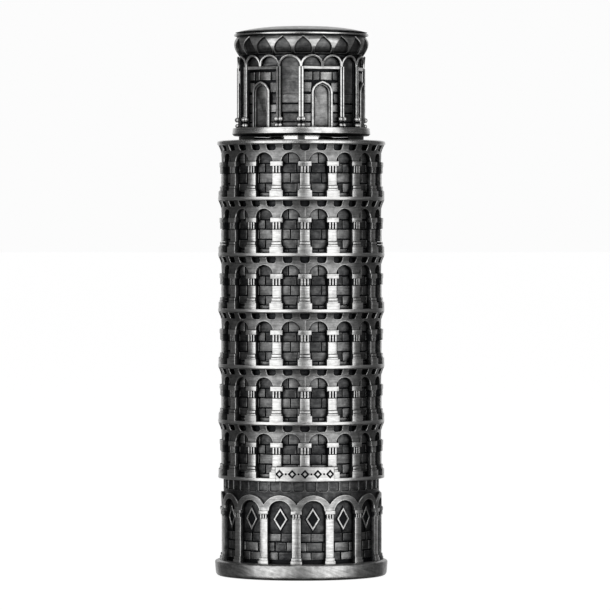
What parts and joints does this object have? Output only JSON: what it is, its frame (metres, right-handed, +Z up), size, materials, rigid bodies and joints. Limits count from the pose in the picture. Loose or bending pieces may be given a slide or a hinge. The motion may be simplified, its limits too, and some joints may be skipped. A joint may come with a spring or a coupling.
{
  "type": "miniature landmark model",
  "caption": "Souvenir bell tower of stacked antiqued metal castings; its belfry is a cap that turns and lifts off a steel neck tube.",
  "frame": {"origin": "centre of the foot, on the surface the tower stands on", "axes": "+Z up along the tower; -Y is the front, where the plaque is"},
  "size_m": [0.0316, 0.0316, 0.1002],
  "materials": {
    "antiqued_casting": "antiqued silver plate, brushed on the high spots",
    "brushed_casting": "antiqued silver plate, brushed bright",
    "polished_steel": "polished",
    "plain_steel": "zinc plated",
    "felt": "pressed felt",
    "ring_rubber": "matte"
  },
  "bodies": {
    "tower": {"felt_pad": "felt", "base_plate": "plain_steel", "base_screws": "plain_steel", "base_ring": "brushed_casting", "ground_storey": "antiqued_casting", "gallery_1": "antiqued_casting", "gallery_2": "antiqued_casting", "gallery_3": "antiqued_casting", "gallery_4": "antiqued_casting", "gallery_5": "antiqued_casting", "gallery_6": "antiqued_casting", "front_plaque": "brushed_casting", "top_deck": "brushed_casting", "core_tube": "polished_steel", "tube_plug": "plain_steel", "neck_collar": "polished_steel", "rest_pads": "ring_rubber", "grip_ring": "ring_rubber"},
    "liner": {"cap_liner": "plain_steel", "liner_clip": "plain_steel"},
    "belfry": {"belfry_floor": "brushed_casting", "belfry_drum": "antiqued_casting", "belfry_cornice": "antiqued_casting", "belfry_roof": "brushed_casting"}
  },
  "joints": [
    {"name": "cap_lift", "type": "slide", "parent": "tower", "child": "liner", "axis": [0, 0, 1], "range_m": [0, 0.025]},
    {"name": "belfry_turn", "type": "hinge", "parent": "liner", "child": "belfry", "pos_m": [0, 0, 0.086], "axis": [0, 0, 1], "continuous": true}
  ]
}
